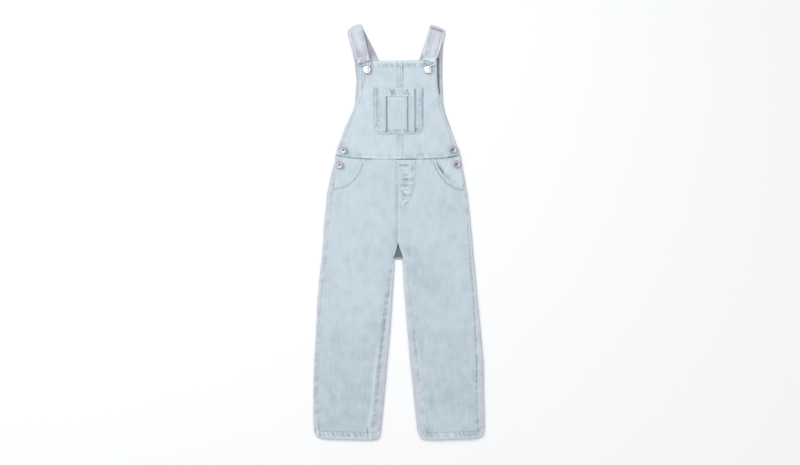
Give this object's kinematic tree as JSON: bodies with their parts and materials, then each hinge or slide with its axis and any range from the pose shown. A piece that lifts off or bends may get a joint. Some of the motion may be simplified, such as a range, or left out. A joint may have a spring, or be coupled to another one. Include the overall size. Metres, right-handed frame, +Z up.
{
  "type": "kids dungarees",
  "caption": "Child's denim dungarees laid flat, with pleated bib pocket, scooped hip pockets, folded shoulder straps, wire hooks and side buttons.",
  "frame": {"origin": "middle of the underside, on the surface the garment lies on", "axes": "+Y up the garment from the hems to the shoulders, +X to the right seen from above, +Z up out of the front"},
  "size_m": [0.376, 0.9136, 0.0145],
  "materials": {
    "denim_bib": "pale stone-washed cotton twill denim, matt",
    "denim_leg": "pale stone-washed cotton twill denim, matt",
    "denim_back": "back of the garment, same denim, a little greyer",
    "denim_strap": "strap denim with streaky vertical fading",
    "denim_facing": "hip cloth inside the scooped pockets",
    "button_metal": "pressed tack button, aged silver",
    "hook_metal": "bent steel wire, nickel plated"
  },
  "bodies": {
    "root": {"back_bib": "denim_back", "back_leg_left": "denim_back", "back_leg_right": "denim_back", "bib_button_left": "button_metal", "bib_button_right": "button_metal", "bib_front_left": "denim_bib", "bib_front_right": "denim_bib", "bib_pocket": "denim_bib", "fly_facing": "denim_leg", "front_leg_left": "denim_leg", "front_leg_right": "denim_leg", "hip_facing_left": "denim_facing", "hip_facing_right": "denim_facing", "pocket_hem": "denim_bib", "pocket_pleat_left": "denim_bib", "pocket_pleat_right": "denim_bib", "side_button_left_lower": "button_metal", "side_button_left_upper": "button_metal", "side_button_right_lower": "button_metal", "side_button_right_upper": "button_metal", "strap_hook_left": "hook_metal", "strap_hook_right": "hook_metal", "strap_left": "denim_strap", "strap_right": "denim_strap"}
  },
  "joints": []
}
